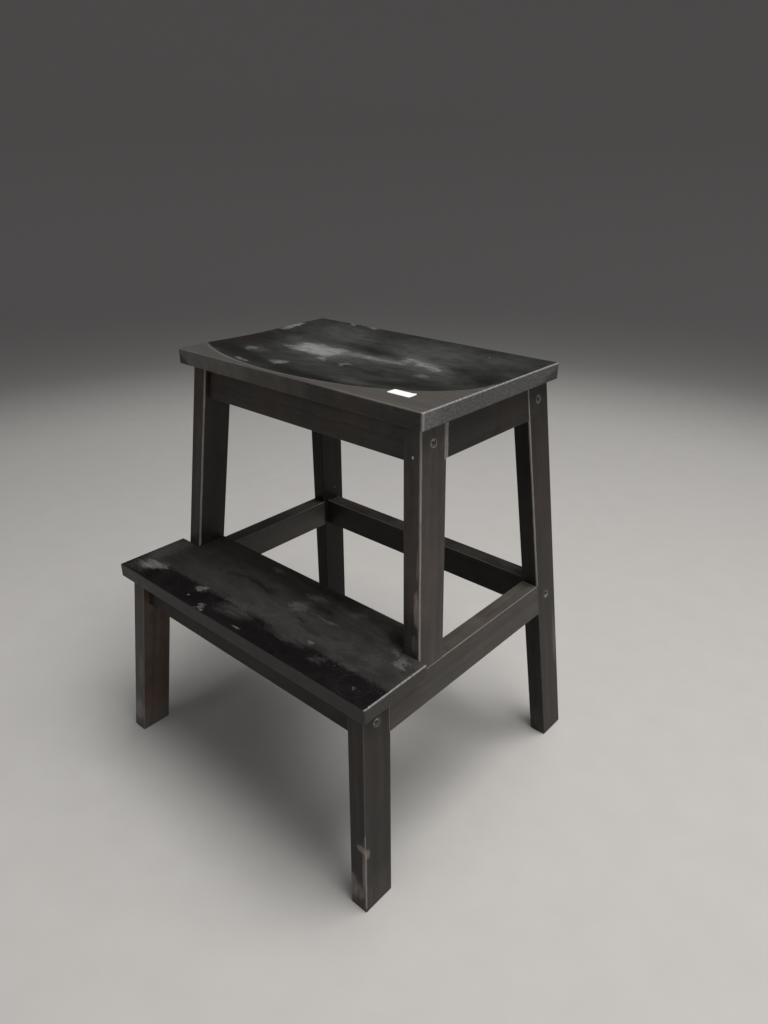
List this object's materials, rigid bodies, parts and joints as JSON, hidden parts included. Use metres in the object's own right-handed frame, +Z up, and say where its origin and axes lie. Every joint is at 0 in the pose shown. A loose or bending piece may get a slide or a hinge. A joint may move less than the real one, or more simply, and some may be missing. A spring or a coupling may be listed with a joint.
{
  "type": "wooden step stool",
  "caption": "Black-stained wooden step stool with a low front tread and a shallow-dished top tread on leaning side frames joined by cross members.",
  "frame": {"origin": "middle of the stool's footprint, on the floor", "axes": "+X to the stool's right side, +Y to its back (the low tread is at the front, -Y), +Z up"},
  "size_m": [0.4298, 0.3898, 0.5002],
  "materials": {
    "tread_wood": "worn near-black stain, satin, with grey scuffs",
    "frame_wood": "near-black stain, satin, arrises worn pale",
    "dowel_wood": "plain beech, hidden",
    "bolt_steel": "zinc-plated",
    "nut_steel": "zinc-plated",
    "screw_steel": "passivated zinc",
    "label_paper": "matte, blank"
  },
  "bodies": {
    "root": {"top_step": "tread_wood", "lower_step": "tread_wood", "rear_leg_left": "frame_wood", "rear_leg_right": "frame_wood", "upper_front_leg_left": "frame_wood", "upper_front_leg_right": "frame_wood", "lower_front_leg_left": "frame_wood", "lower_front_leg_right": "frame_wood", "lower_side_rail_left": "frame_wood", "lower_side_rail_right": "frame_wood", "upper_side_apron_left": "frame_wood", "upper_side_apron_right": "frame_wood", "front_top_apron": "frame_wood", "rear_top_apron": "frame_wood", "rear_stretcher": "frame_wood", "front_lower_apron": "frame_wood", "front_top_apron_bolts": "bolt_steel", "front_top_apron_barrel_nuts": "nut_steel", "front_top_apron_dowels": "dowel_wood", "rear_top_apron_bolts": "bolt_steel", "rear_top_apron_barrel_nuts": "nut_steel", "rear_top_apron_dowels": "dowel_wood", "rear_stretcher_bolts": "bolt_steel", "rear_stretcher_barrel_nuts": "nut_steel", "rear_stretcher_dowels": "dowel_wood", "front_lower_apron_bolts": "bolt_steel", "front_lower_apron_barrel_nuts": "nut_steel", "front_lower_apron_dowels": "dowel_wood", "side_frame_dowels_left": "dowel_wood", "side_frame_dowels_right": "dowel_wood", "top_step_screws": "screw_steel", "lower_step_screws": "screw_steel", "blank_label": "label_paper"}
  },
  "joints": []
}
